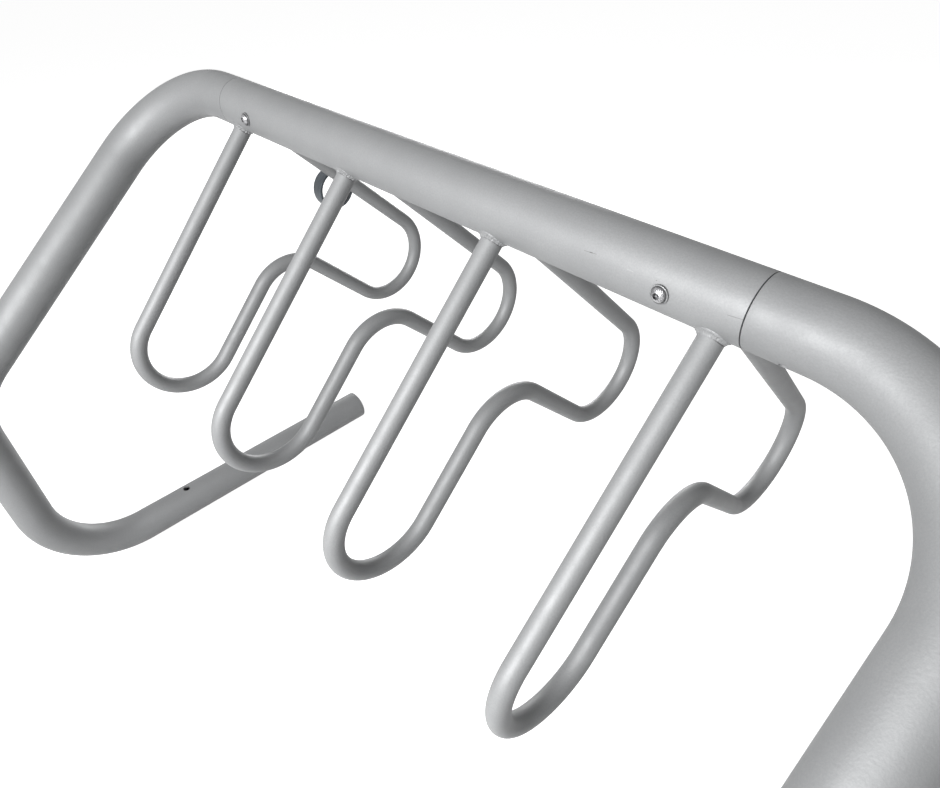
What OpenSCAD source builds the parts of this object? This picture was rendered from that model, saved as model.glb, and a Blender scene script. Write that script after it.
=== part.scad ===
// Coat hanger bike rack: a steel beam on two bent C legs that carries a row of
// bent hangers. Millimetres. X runs along the beam, Y to the rear, Z up.
// The floor is Z = 0 and the origin is the middle of the footprint.

/* [Frame tube] */
// outside diameter of the beam and the legs
frame_od = 60.3; // [48:0.1:70]
// wall thickness of the beam and the legs
frame_wall = 3.9; // [3:0.1:5]
// radius of the tube's centreline in every bend of a leg
leg_bend_r = 150; // [130:1:165]

/* [Stance] */
// height of the beam's centreline above the floor
beam_height = 792; // [740:1:900]
// how steeply the top arm of a leg falls, degrees below level
arm_slope = 38; // [32:1:42]
// beam's centreline forward to the centreline of a leg's upright
leg_reach = 465; // [430:1:500]
// beam's centreline back to the cut end of a foot
foot_back = 200; // [150:1:260]
// straight run of a leg's tube between the beam joint and its first bend
leg_lead = 46; // [44:1:120]

/* [Hanger] */
// outside diameter of the hanger tube
hanger_od = 22.2; // [18:0.1:27]
// wall thickness of the hanger tube
hanger_wall = 2.6; // [1.6:0.1:3.5]
// radius of the tube's centreline in every bend of a hanger
hanger_bend_r = 68; // [60:1:80]
// straight run between a hanger's end loop and its middle bend
hanger_inner = 122; // [90:1:150]
// slope of the hanger's straights, degrees below level
hanger_slope = 45; // [40:1:48]
// how far below the beam's centreline the two arms of a hanger aim
hanger_drop = 8; // [4:0.5:10]
// distance from one hanger to the next
hanger_pitch = 235; // [180:1:320]
// outer hanger's centre to the cut end of the beam
beam_end = 24; // [22:1:60]
// size of the weld bead that joins a hanger to the beam
weld_leg = 4; // [2.5:0.1:5]

/* [Beam joints] */
// open gap between the end of the beam and the end of a leg
joint_gap = 1.5; // [0.5:0.1:4]
// wall thickness of the sleeve inside a joint
sleeve_wall = 4; // [3:0.1:5]
// gap all round between the sleeve and the tubes
sleeve_clear = 0.3; // [0.2:0.05:0.5]
// length of sleeve inside the beam
sleeve_in_beam = 90; // [85:1:120]
// length of sleeve inside the leg
sleeve_in_leg = 42; // [38:1:43]
// end of the beam to the joint screw
screw_inset = 67; // [52:1:76]
// diameter of the drain hole under the leg side of a joint
drain_d = 8; // [5:0.5:10]
// end of the leg tube to the drain hole
drain_inset = 32; // [28:1:34]
// where the drain hole sits round the tube, degrees from straight down
drain_angle = 45; // [20:1:60]

/* [Joint screw] */
// shank diameter of the screw
screw_d = 8; // [6:0.5:10]
// length of the screw under its head
screw_len = 20; // [18:1:25]
// diameter of the button head
screw_head_d = 14; // [12:0.5:18]
// height of the button head
screw_head_h = 4.4; // [3:0.1:5.5]
// width across flats of the socket
socket_af = 5; // [4:0.5:6]
// depth of the socket
socket_depth = 2.6; // [1.5:0.1:2.8]
// diameter of the security pin inside the socket
socket_pin_d = 2; // [1:0.1:2.5]
// outside diameter of the washer
washer_od = 16; // [14.5:0.5:20]
// thickness of the washer
washer_t = 1.6; // [1:0.1:2.5]
// diameter of the welded nut
nut_od = 16; // [13:0.5:20]
// height of the welded nut
nut_h = 10; // [6:0.5:12]
// gap all round where the screw passes a wall or a washer
screw_clear = 0.5; // [0.2:0.1:1]
// gap all round between the screw and the bore of the nut
thread_clear = 0.1; // [0.05:0.05:0.2]

/* [Feet] */
// diameter of an anchor hole through a foot
anchor_d = 13; // [10:0.5:16]
// end of a foot's straight to its anchor hole
anchor_inset = 95; // [60:1:130]
// thickness of the end cap's flange
cap_t = 3; // [2:0.5:6]
// length of the end cap's plug inside the foot
cap_plug = 18; // [10:1:30]
// wall thickness of the end cap's plug
cap_wall = 2.5; // [1.5:0.1:4]
// gap all round between the plug and the foot
cap_clear = 0.2; // [0.1:0.05:0.3]
// rounding of the end cap's outer edge
cap_round = 1; // [0.5:0.1:1.5]

/* [Lock ring] */
// width of the ring
ring_w = 20; // [12:1:30]
// how far down the rear arm of the first hanger the ring sits
ring_along = 185; // [150:1:230]
// size of the weld bead that joins the ring to the hanger
ring_weld_leg = 4; // [2:0.1:5]

/* [Hidden] */
$fn = 96;

overrun = frame_wall;            // how far a cut runs past what it cuts
frame_r = frame_od / 2;
frame_id = frame_od - 2 * frame_wall;
hanger_r = hanger_od / 2;

// the row of four hangers, counted from the left
hanger_at = [for (place = [-3, -1, 1, 3]) place * hanger_pitch / 2];
beam_half = hanger_at[3] + beam_end;
leg_start = beam_half + joint_gap;
leg_plane = leg_start + leg_lead + leg_bend_r;

// a leg in side view: top arm, bend, upright, bend, foot
arm_len = (leg_reach - leg_bend_r * (cos(arm_slope) + 1 - sin(arm_slope))) / cos(arm_slope);
upright_top = beam_height - leg_bend_r * (sin(arm_slope) + cos(arm_slope)) - arm_len * sin(arm_slope);
upright_len = upright_top - frame_r - leg_bend_r;
foot_len = leg_reach - leg_bend_r + foot_back;

// anchor holes, measured from the beam's centreline to the rear
anchor_front_y = anchor_inset + leg_bend_r - leg_reach;
anchor_rear_y = foot_back - anchor_inset;

// a hanger's arm, from where the two arms would cross to its loop
arm_run = hanger_inner + 3 * hanger_bend_r * tan(hanger_slope);
loop_y = arm_run * cos(hanger_slope) - hanger_bend_r * sin(hanger_slope);

// how far the rack reaches from the beam's centreline, and where that line
// lies behind the middle of the footprint
rear_reach = max(loop_y + hanger_bend_r + hanger_r, foot_back + cap_t);
front_reach = leg_reach + frame_r;
beam_y = (front_reach - rear_reach) / 2;

// joint hardware
sleeve_od = frame_id - 2 * sleeve_clear;
sleeve_id = sleeve_od - 2 * sleeve_wall;
screw_x = beam_half - screw_inset;
screw_hole_d = screw_d + 2 * screw_clear;
drain_x = leg_start + drain_inset;
head_ball_r = (screw_head_h ^ 2 + (screw_head_d / 2) ^ 2) / (2 * screw_head_h);

// steps of a weld bead: width on the tube and height on the beam
bead_shares = [[1, 0.35], [0.65, 0.65], [0.35, 1]];

// the lock ring is cut from the frame tube and sits flush with the arm's top
ring_drop = frame_r - hanger_r;
ring_x = hanger_at[0] - hanger_r - ring_w / 2;
// where the arm's side runs over the ring's end: from and to, along the arm
ring_touch = [for (r = [frame_id / 2, frame_r]) sqrt(r ^ 2 - ring_drop ^ 2)];

// Kinds of step in a route of bent tube
RUN = 0;    // [RUN, length]
BEND = 1;   // [BEND, centreline radius, degrees to the left]
ROLL = 2;   // [ROLL, degrees about the direction of travel]

// A tube draws down a little where it is bent: a bend's diameter is this share
// of its runs' diameter. Each end of a bend laps into its run by bend_lap.
bend_share = 0.99;
bend_lap = 0.5;

// A bend to the left of a tube or bore of diameter d, starting along +X.
module bend(d, r, turn) {
    lap = atan(bend_lap / r);
    translate([0, r, 0]) rotate([0, 0, -90 - lap])
        rotate_extrude(angle = turn + 2 * lap) translate([r, 0]) circle(d = bend_share * d);
}

// A tube or bore of diameter d that follows a route, starting along +X.
module follow(d, route, i = 0) {
    if (i < len(route)) {
        s = route[i];
        if (s[0] == RUN) {
            rotate([0, 90, 0]) cylinder(d = d, h = s[1]);
            translate([s[1], 0, 0]) follow(d, route, i + 1);
        } else if (s[0] == BEND) {
            r = s[1] * sign(s[2]);
            mirror([0, s[2] < 0 ? 1 : 0, 0]) bend(d, s[1], abs(s[2]));
            translate([0, r, 0]) rotate([0, 0, s[2]]) translate([0, -r, 0])
                follow(d, route, i + 1);
        } else {
            rotate([s[1], 0, 0]) follow(d, route, i + 1);
        }
    }
}

// Children drawn about the beam's centreline, set at their height.
module at_beam() {
    translate([0, beam_y, beam_height]) children();
}

// The right leg's tube or bore, drawn both ways from the top of the upright:
// up to the beam joint and down to the end of the foot.
// extra lengthens both ends, for the bore.
module leg_tube(d, extra = 0) {
    translate([leg_plane, -leg_reach, upright_top - beam_height]) {
        rotate([0, -90, 0]) follow(d, [
            [BEND, leg_bend_r, 90 - arm_slope],
            [RUN, arm_len],
            [ROLL, 90],
            [BEND, leg_bend_r, 90],
            [RUN, leg_lead + extra]]);
        rotate([0, 90, 0]) follow(d, [
            [RUN, upright_len],
            [BEND, leg_bend_r, 90],
            [RUN, foot_len + extra]]);
    }
}

// Right leg: one bent tube, bored through, with two anchor holes in its foot
// and a drain hole under the joint.
module leg() {
    at_beam() difference() {
        leg_tube(frame_od);
        leg_tube(frame_id, overrun);
        for (y = [anchor_front_y, anchor_rear_y])
            translate([leg_plane, y, -beam_height - overrun])
                cylinder(d = anchor_d, h = frame_od + 2 * overrun);
        drain();
    }
}

// The drain hole of a joint, through the leg tube and the sleeve in it.
module drain() {
    translate([drain_x, 0, 0]) rotate([180 - drain_angle, 0, 0])
        cylinder(d = drain_d, h = frame_od);
}

// Beam: a straight tube with one screw hole near each end, level at the front.
module hanger_beam() {
    color("#9a9da1") at_beam() difference() {
        translate([-beam_half, 0, 0]) rotate([0, 90, 0])
            cylinder(d = frame_od, h = 2 * beam_half);
        translate([-beam_half - overrun, 0, 0]) rotate([0, 90, 0])
            cylinder(d = frame_id, h = 2 * (beam_half + overrun));
        for (side = [-1, 1])
            translate([side * screw_x, 0, 0]) rotate([90, 0, 0])
                cylinder(d = screw_hole_d, h = frame_od);
    }
}

module leg_left() { color("#8e9296") mirror([1, 0, 0]) leg(); }
module leg_right() { color("#8e9296") leg(); }

// Sleeve: joins the leg to the beam from inside, with the screw hole at the front.
module sleeve() {
    sleeve_len = sleeve_in_beam + joint_gap + sleeve_in_leg;
    at_beam() difference() {
        translate([beam_half - sleeve_in_beam, 0, 0]) rotate([0, 90, 0])
            cylinder(d = sleeve_od, h = sleeve_len);
        translate([beam_half - sleeve_in_beam - overrun, 0, 0]) rotate([0, 90, 0])
            cylinder(d = sleeve_id, h = sleeve_len + 2 * overrun);
        translate([screw_x, 0, 0]) rotate([90, 0, 0])
            cylinder(d = screw_hole_d, h = frame_od);
        drain();
    }
}

module sleeve_left() { color("#6d7176") mirror([1, 0, 0]) sleeve(); }
module sleeve_right() { color("#6d7176") sleeve(); }

// Nut: a round boss welded inside the sleeve, its outer end shaped to the bore.
module nut() {
    at_beam() difference() {
        intersection() {
            translate([screw_x, nut_h - sleeve_id / 2, 0]) rotate([90, 0, 0])
                cylinder(d = nut_od, h = sleeve_id);
            translate([screw_x - nut_od, 0, 0]) rotate([0, 90, 0])
                cylinder(d = sleeve_id, h = 2 * nut_od);
        }
        translate([screw_x, sleeve_id / 2, 0]) rotate([90, 0, 0])
            cylinder(d = screw_d + 2 * thread_clear, h = 2 * sleeve_id);
    }
}

module nut_left() { color("#b8a35c") mirror([1, 0, 0]) nut(); }
module nut_right() { color("#b8a35c") nut(); }

// Screw: button head with a six-sided socket and a security pin.
module screw() {
    at_beam() translate([screw_x, -frame_r - washer_t, 0]) {
        rotate([-90, 0, 0]) cylinder(d = screw_d, h = screw_len);
        rotate([90, 0, 0]) {
            difference() {
                intersection() {
                    cylinder(d = screw_head_d, h = screw_head_h);
                    translate([0, 0, screw_head_h - head_ball_r]) sphere(r = head_ball_r);
                }
                translate([0, 0, screw_head_h - socket_depth])
                    cylinder(d = socket_af / cos(30), h = screw_head_h, $fn = 6);
            }
            cylinder(d = socket_pin_d, h = screw_head_h - socket_depth / 3);
        }
    }
}

module screw_left() { color("#d7d9dc") mirror([1, 0, 0]) screw(); }
module screw_right() { color("#d7d9dc") screw(); }

// Washer: flat ring under the screw head, resting on the front of the beam.
module washer() {
    at_beam() translate([screw_x, -frame_r, 0]) rotate([90, 0, 0]) difference() {
        cylinder(d = washer_od, h = washer_t);
        translate([0, 0, -washer_t])
            cylinder(d = screw_hole_d, h = 3 * washer_t);
    }
}

module washer_left() { color("#c3c6ca") mirror([1, 0, 0]) washer(); }
module washer_right() { color("#c3c6ca") washer(); }

// The route of a hanger, from where its arms would cross: front arm, front
// loop, middle bend, rear loop, rear arm.
hanger_route = [
    [RUN, arm_run],
    [BEND, hanger_bend_r, 180],
    [RUN, hanger_inner],
    [BEND, hanger_bend_r, -2 * hanger_slope],
    [RUN, hanger_inner],
    [BEND, hanger_bend_r, 180],
    [RUN, arm_run]];

// Children drawn along the front arm of a hanger, +X down the arm.
module along_front_arm(x) {
    translate([x, 0, -hanger_drop]) rotate([hanger_slope, 0, 0])
        rotate([0, 0, -90]) rotate([180, 0, 0]) rotate([90, 0, 0]) children();
}

// Hanger: one bent tube whose two ends are coped to sit against the beam.
module hanger(x) {
    at_beam() difference() {
        along_front_arm(x) follow(hanger_od, hanger_route);
        along_front_arm(x) follow(hanger_od - 2 * hanger_wall, hanger_route);
        translate([x - frame_od, 0, 0]) rotate([0, 90, 0])
            cylinder(d = frame_od, h = 2 * frame_od);
    }
}

module hanger_1() { color("#a7abb0") hanger(hanger_at[0]); }
module hanger_2() { color("#a7abb0") hanger(hanger_at[1]); }
module hanger_3() { color("#a7abb0") hanger(hanger_at[2]); }
module hanger_4() { color("#a7abb0") hanger(hanger_at[3]); }

// A rod round the front arm of a hanger (side 1) or its rear arm (side -1).
module arm_rod(x, side, r) {
    mirror([0, side < 0 ? 1 : 0, 0])
        along_front_arm(x) rotate([0, 90, 0]) cylinder(r = r, h = 2 * frame_r);
}

// Weld: a stepped bead round both coped ends of a hanger, against the beam.
module hanger_weld(x) {
    at_beam() difference() {
        for (side = [1, -1], step = bead_shares)
            intersection() {
                arm_rod(x, side, hanger_r + step[0] * weld_leg);
                translate([x - frame_od, 0, 0]) rotate([0, 90, 0])
                    cylinder(r = frame_r + step[1] * weld_leg, h = 2 * frame_od);
            }
        for (side = [1, -1]) arm_rod(x, side, hanger_r);
        translate([x - frame_od, 0, 0]) rotate([0, 90, 0])
            cylinder(d = frame_od, h = 2 * frame_od);
    }
}

module hanger_weld_1() { color("#c08a5a") hanger_weld(hanger_at[0]); }
module hanger_weld_2() { color("#c08a5a") hanger_weld(hanger_at[1]); }
module hanger_weld_3() { color("#c08a5a") hanger_weld(hanger_at[2]); }
module hanger_weld_4() { color("#c08a5a") hanger_weld(hanger_at[3]); }

// Foot cap: a flange with a rounded edge and a hollow plug inside the foot.
module foot_cap() {
    at_beam() translate([leg_plane, foot_back, frame_r - beam_height]) rotate([-90, 0, 0])
        difference() {
            union() {
                cylinder(d = frame_od, h = cap_t - cap_round);
                cylinder(d = frame_od - 2 * cap_round, h = cap_t);
                translate([0, 0, cap_t - cap_round])
                    rotate_extrude() translate([frame_r - cap_round, 0]) circle(r = cap_round);
                translate([0, 0, -cap_plug])
                    cylinder(d = frame_id - 2 * cap_clear, h = cap_plug);
            }
            translate([0, 0, -cap_plug - overrun])
                cylinder(d = frame_id - 2 * (cap_clear + cap_wall), h = cap_plug + overrun);
        }
}

module foot_cap_left() { color("#7f8488") mirror([1, 0, 0]) foot_cap(); }
module foot_cap_right() { color("#7f8488") foot_cap(); }

// Children drawn about the lock ring's centre: X across it, Y down the arm.
module at_ring() {
    at_beam() translate([ring_x, 0, -hanger_drop]) rotate([-hanger_slope, 0, 0])
        translate([0, ring_along, -ring_drop]) children();
}

// Lock ring: a slice of the frame tube against the outer side of the arm.
module lock_ring() {
    color("#56606a") at_ring() translate([-ring_w / 2, 0, 0]) rotate([0, 90, 0])
        difference() {
            cylinder(d = frame_od, h = ring_w);
            translate([0, 0, -overrun]) cylinder(d = frame_id, h = ring_w + 2 * overrun);
        }
}

// Weld: two short beads where the arm runs over the end of the lock ring.
module ring_weld() {
    color("#c08a5a") at_ring() difference() {
        for (side = [0, 1]) mirror([0, side, 0])
            translate([ring_w / 2, ring_touch[0], ring_drop]) rotate([-90, 0, 0])
                cylinder(r = ring_weld_leg, h = ring_touch[1] - ring_touch[0]);
        translate([ring_w / 2 + hanger_r, -frame_od, ring_drop]) rotate([-90, 0, 0])
            cylinder(d = hanger_od, h = 2 * frame_od);
        translate([-ring_w / 2, 0, 0]) rotate([0, 90, 0]) difference() {
            cylinder(d = frame_od, h = ring_w);
            translate([0, 0, -overrun]) cylinder(d = frame_id, h = ring_w + 2 * overrun);
        }
    }
}

hanger_beam();
leg_left();
leg_right();
sleeve_left();
sleeve_right();
nut_left();
nut_right();
screw_left();
screw_right();
washer_left();
washer_right();
hanger_1();
hanger_2();
hanger_3();
hanger_4();
hanger_weld_1();
hanger_weld_2();
hanger_weld_3();
hanger_weld_4();
foot_cap_left();
foot_cap_right();
lock_ring();
ring_weld();
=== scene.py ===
# %% [markdown]
# # A coat hanger bike rack
#
# The rack is a thick steel tube held level on bent C legs. Thin tubes, bent like coat hangers,
# hang under it, and each parked bicycle hooks onto one of them. Everything is powder coated in
# a satin silver grey, apart from bright screws and a dark ring for a lock.
#
# The CAD model comes first, as a fixed frame. Its tubes are exact, but their meshes are made of
# flat strips, so most of them get a finer surface here that lies in the same place.

import math

import bpy
import numpy as np
from mathutils import Matrix


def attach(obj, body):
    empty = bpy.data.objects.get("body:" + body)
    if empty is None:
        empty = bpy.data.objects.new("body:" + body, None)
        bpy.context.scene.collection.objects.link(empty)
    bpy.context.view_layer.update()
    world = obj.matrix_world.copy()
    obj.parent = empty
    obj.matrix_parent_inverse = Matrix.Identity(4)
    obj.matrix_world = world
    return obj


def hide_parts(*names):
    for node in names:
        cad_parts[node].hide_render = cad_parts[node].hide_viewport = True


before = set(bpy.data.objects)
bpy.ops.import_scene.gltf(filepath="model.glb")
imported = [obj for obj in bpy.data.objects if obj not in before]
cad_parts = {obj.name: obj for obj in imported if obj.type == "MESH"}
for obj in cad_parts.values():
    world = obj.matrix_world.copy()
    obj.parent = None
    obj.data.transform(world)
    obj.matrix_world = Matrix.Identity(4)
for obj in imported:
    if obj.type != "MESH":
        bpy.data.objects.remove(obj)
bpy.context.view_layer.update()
bpy.context.scene.view_settings.view_transform = "Standard"
print("CAD nodes:", len(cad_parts))

# %% [markdown]
# ## The sizes
#
# These are the sizes that the CAD model was built from, in metres. Repeating them here, under
# the same words, lets each new surface lie exactly on the solid that it stands for.

# %% Sizes of the tubes and where they go
FRAME_R, FRAME_WALL = 0.03015, 0.0039
BEAM_Y, BEAM_Z = 0.116808, 0.792
HANGER_AT = [-0.3525, -0.1175, 0.1175, 0.3525]
BEAM_HALF = 0.3765
LEG_START = 0.378
LEG_LEAD, LEG_BEND_R = 0.046, 0.150
ARM_SLOPE = math.radians(38)
LEG_REACH, FOOT_BACK = 0.465, 0.200
HANGER_R, HANGER_WALL = 0.0111, 0.0026
HANGER_BEND_R, HANGER_INNER = 0.068, 0.122
HANGER_SLOPE = math.radians(45)
HANGER_DROP = 0.008
SCREW_X, SCREW_HOLE_R = 0.3095, 0.0045
WASHER_R, WASHER_BORE_R, WASHER_THICK = 0.008, 0.0045, 0.0016
DRAIN_X, DRAIN_R, DRAIN_ANGLE = 0.410, 0.004, math.radians(45)
ANCHOR_R, ANCHOR_INSET = 0.0065, 0.095
CAP_THICK, CAP_PLUG, CAP_WALL, CAP_CLEAR = 0.003, 0.018, 0.0025, 0.0002
RING_WIDTH, RING_ALONG = 0.020, 0.185

slope_cos, slope_sin = math.cos(ARM_SLOPE), math.sin(ARM_SLOPE)
ARM_LEN = (LEG_REACH - LEG_BEND_R * (slope_cos + 1 - slope_sin)) / slope_cos
UPRIGHT_TOP = BEAM_Z - LEG_BEND_R * (slope_sin + slope_cos) - ARM_LEN * slope_sin
UPRIGHT_LEN = UPRIGHT_TOP - FRAME_R - LEG_BEND_R
FOOT_LEN = LEG_REACH - LEG_BEND_R + FOOT_BACK
LEG_PLANE = LEG_START + LEG_LEAD + LEG_BEND_R
HANGER_ARM = HANGER_INNER + 3 * HANGER_BEND_R * math.tan(HANGER_SLOPE)
print("straights of a leg:", [round(v, 4) for v in (LEG_LEAD, ARM_LEN, UPRIGHT_LEN, FOOT_LEN)])

# %% [markdown]
# ## The camera
#
# The photograph was taken from in front of the rack, to the right and a little above, close
# enough for the near hanger to look much larger than the far one. A camera is a place, three
# directions and a lens. These were found by fitting the tubes' edges in the photograph, and the
# small shift keeps the lens's axis where it was in the uncropped picture.

# %% Camera
camera_place = np.array([0.54566, -0.32231, 1.06610])
camera_right = np.array([0.69153, 0.72170, -0.03065])
camera_down = np.array([0.45609, -0.46914, -0.75623])
camera_ahead = np.array([-0.56015, 0.50898, -0.65359])

camera_data = bpy.data.cameras.new("camera")
camera_data.sensor_width = 36.0
camera_data.lens = 26.294
camera_data.shift_x = -0.00469
camera_data.shift_y = 0.02330
camera_data.clip_start = 0.01
camera_data.clip_end = 50.0
camera = bpy.data.objects.new("camera", camera_data)
turn = np.eye(4)
turn[:3, 0], turn[:3, 1], turn[:3, 2], turn[:3, 3] = camera_right, -camera_down, -camera_ahead, camera_place
camera.matrix_world = Matrix(turn.tolist())
bpy.context.scene.collection.objects.link(camera)
bpy.context.scene.camera = camera
print("camera at", camera_place, "lens", camera_data.lens, "mm")

# %% [markdown]
# ## Floor and background
#
# The picture has a clean white ground. The floor and the world are white where the camera or a
# reflection sees them, and dark for the light that they throw back, because a white floor all
# round would light the undersides of the tubes and flatten them. The floor keeps the shadow.

# %% World and floor
def links(tree, *pairs):
    """Joins sockets of a node tree: each pair is (from, to)."""
    for out_socket, in_socket in pairs:
        tree.links.new(out_socket, in_socket)


def seen_rays(tree):
    """A socket that is 1 for rays from the camera, off gloss and through glass, and 0 for the rest."""
    path = tree.nodes.new("ShaderNodeLightPath")
    total = path.outputs["Is Camera Ray"]
    for name in ("Is Glossy Ray", "Is Transmission Ray"):
        add = tree.nodes.new("ShaderNodeMath")
        add.operation = "MAXIMUM"
        links(tree, (total, add.inputs[0]), (path.outputs[name], add.inputs[1]))
        total = add.outputs[0]
    return total


AMBIENT = 0.01          # how bright the surroundings are to a matt surface
FLOOR_BOUNCE = 0.03     # how much light the floor throws back
FLOOR_GLOW = 0.96       # the floor's own light, where it is seen
FLOOR_TONE = 0.80       # its paint there, which shows the shadow
FLOOR_HALF = 9.0        # metres from the middle to an edge

world = bpy.data.worlds.new("world")
bpy.context.scene.world = world
world.use_nodes = True
wt = world.node_tree
background = wt.nodes["Background"]
strength = wt.nodes.new("ShaderNodeMapRange")
strength.inputs["To Min"].default_value = AMBIENT
strength.inputs["To Max"].default_value = 1.0
background.inputs["Color"].default_value = (1, 1, 1, 1)
links(wt, (seen_rays(wt), strength.inputs["Value"]), (strength.outputs[0], background.inputs["Strength"]))

floor_mesh = bpy.data.meshes.new("floor")
floor_corners = [(x * FLOOR_HALF, y * FLOOR_HALF, 0) for x, y in ((-1, -1), (1, -1), (1, 1), (-1, 1))]
floor_mesh.from_pydata(floor_corners, [], [(0, 1, 2, 3)])
floor = bpy.data.objects.new("floor", floor_mesh)
bpy.context.scene.collection.objects.link(floor)

floor_paint = bpy.data.materials.new("floor_paint")
floor_paint.use_nodes = True
ft = floor_paint.node_tree
floor_shader = ft.nodes["Principled BSDF"]
floor_shader.inputs["Roughness"].default_value = 1.0
floor_shader.inputs["Specular IOR Level"].default_value = 0.0
tone = ft.nodes.new("ShaderNodeMix")
tone.data_type = "RGBA"
tone.inputs["A"].default_value = (FLOOR_BOUNCE, FLOOR_BOUNCE, FLOOR_BOUNCE, 1)
tone.inputs["B"].default_value = (FLOOR_TONE, FLOOR_TONE, FLOOR_TONE, 1)
glow = ft.nodes.new("ShaderNodeMath")
glow.operation = "MULTIPLY"
glow.inputs[1].default_value = FLOOR_GLOW
seen = seen_rays(ft)
links(ft, (seen, tone.inputs["Factor"]), (tone.outputs["Result"], floor_shader.inputs["Base Color"]),
      (seen, glow.inputs[0]), (glow.outputs[0], floor_shader.inputs["Emission Strength"]))
floor_shader.inputs["Emission Color"].default_value = (1, 1, 1, 1)
floor_mesh.materials.append(floor_paint)
print("floor and world are ready")

# %% [markdown]
# ## The light
#
# The photograph is lit from in front of the rack by one soft light, a little above the beam and
# not far away: every tube has a pale band on that side and a dark one away from it, and the near
# hanger is the brightest. A weaker light at the back, on the left, only keeps the rear from going
# black when the rack is turned round. It stands low, so that it doesn't glance off the beam's top.

# %% Lamps
def lamp(name, place, aim, wide, high, watts):
    """A soft light at place that faces aim, so many metres wide and high."""
    data = bpy.data.lights.new(name, "AREA")
    data.shape = "RECTANGLE"
    data.size, data.size_y = wide, high
    data.energy = watts
    thing = bpy.data.objects.new(name, data)
    back = np.array(place, float) - np.array(aim, float)
    back /= np.linalg.norm(back)
    right = np.cross((0, 0, 1), back)
    right /= np.linalg.norm(right)
    pose = np.eye(4)
    pose[:3, 0], pose[:3, 1], pose[:3, 2], pose[:3, 3] = right, np.cross(back, right), back, place
    thing.matrix_world = Matrix(pose.tolist())
    bpy.context.scene.collection.objects.link(thing)


rack_middle = (0.0, 0.1, 0.6)
lamp("front_light", (0.28, -1.75, 1.48), rack_middle, 1.5, 0.8, 70)
lamp("rear_light", (-2.5, 2.5, 0.5), rack_middle, 1.6, 0.9, 60)

# %% [markdown]
# ## A tube that follows a path
#
# A bent tube is one circle carried along a path of straights and bends. The path is worked out
# first, step by step, the way a pipe bender works: run forward, bend to the left, or roll the
# tube about its own length. At each stop two directions square to the path are kept. They turn
# with a bend but never twist about the tube, so the rows of faces run true.

# %% Paths of bent tube
def follow(start, ahead, left, steps, bend_step=math.radians(2.0)):
    """Stops along a route. steps holds ("run", length, pieces), ("bend", radius, angle) and
    ("roll", angle). Returns arrays of centre, ahead, side, up and length so far, where side and
    up are the two directions square to the path. A bend turns everything about a hub, which lies
    one radius to the left, or to the right if its angle is negative."""
    place, ahead, left = (np.array(v, float) for v in (start, ahead, left))
    side, up = left.copy(), np.cross(ahead, left)
    stops = [(place, ahead, side, up, 0.0)]
    gone = 0.0
    for step in steps:
        if step[0] == "run":
            length, pieces = step[1:]
            for share in np.linspace(0, 1, pieces + 1)[1:]:
                stops.append((place + ahead * length * share, ahead, side, up, gone + length * share))
            place = place + ahead * length
            gone += length
        elif step[0] == "roll":
            left = left * math.cos(step[1]) + np.cross(ahead, left) * math.sin(step[1])
        else:
            radius, angle = step[1], step[2]
            sense = 1.0 if angle > 0 else -1.0
            hub = place + left * radius * sense
            axis = np.cross(ahead, left) * sense
            count = max(2, int(math.ceil(abs(angle) / bend_step)))

            def spun(v, a):
                """v turned by an angle a about the bend's axis."""
                flat = v * math.cos(a) + np.cross(axis, v) * math.sin(a)
                return flat + axis * np.dot(axis, v) * (1 - math.cos(a))

            for k in range(1, count + 1):
                a = abs(angle) * k / count
                turned_ways = [spun(way, a) for way in (ahead, side, up)]
                stops.append((hub + spun(place - hub, a), *turned_ways, gone + radius * a))
            whole = abs(angle)
            place = hub + spun(place - hub, whole)
            ahead, left, side, up = (spun(way, whole) for way in (ahead, left, side, up))
            gone += radius * whole
    return [np.array(column) for column in zip(*stops)]


def circle_points(centre, side, up, radius, count):
    """A grid of points: for each stop, count points on a circle of that radius round the centre."""
    angle = np.linspace(0, 2 * np.pi, count, endpoint=False)
    radius = np.broadcast_to(np.asarray(radius, float), (len(centre),))[:, None, None]
    spokes = np.cos(angle)[None, :, None] * side[:, None, :] + np.sin(angle)[None, :, None] * up[:, None, :]
    return centre[:, None, :] + radius * spokes


print("path helpers are ready")

# %% [markdown]
# ## From a grid of points to a closed mesh
#
# Every surface below is a grid: rows go along the piece and columns go round it. Neighbouring
# points are joined by four-sided faces. A tube with a wall is a closed loop of rows: down the
# outside, over the cut end, back through the bore and over the other end. A solid of revolution
# closes at two poles instead.

# %% Grids and shells
def grid_faces(rows, columns, loop_rows=True):
    """Corner numbers of the faces between neighbouring points. Columns always close up."""
    r = np.arange(rows if loop_rows else rows - 1)
    c = np.arange(columns)
    r, c = np.meshgrid(r, c, indexing="ij")
    r2, c2 = (r + 1) % rows, (c + 1) % columns
    corners = np.stack([r * columns + c, r * columns + c2, r2 * columns + c2, r2 * columns + c], axis=-1)
    return corners.reshape(-1, 4)


def looped(grid):
    """A shell from rows that close up into a loop, such as a tube with a wall."""
    return grid.reshape(-1, 3), grid_faces(*grid.shape[:2]), np.zeros((0, 3), int)


def poled(grid, first, last):
    """A shell from open rows, closed by a fan of triangles to a pole point at each end."""
    rows, columns = grid.shape[:2]
    k = np.arange(columns)
    k2 = (k + 1) % columns
    top, bottom = rows * columns, rows * columns + 1
    last_row = (rows - 1) * columns
    fans = np.concatenate([np.stack([np.full(columns, top), k2, k], -1),
                           np.stack([np.full(columns, bottom), k + last_row, k2 + last_row], -1)])
    return np.vstack([grid.reshape(-1, 3), first, last]), grid_faces(rows, columns, False), fans


print("faces of a loop with 3 rows and 4 columns:", len(grid_faces(3, 4)))

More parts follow.
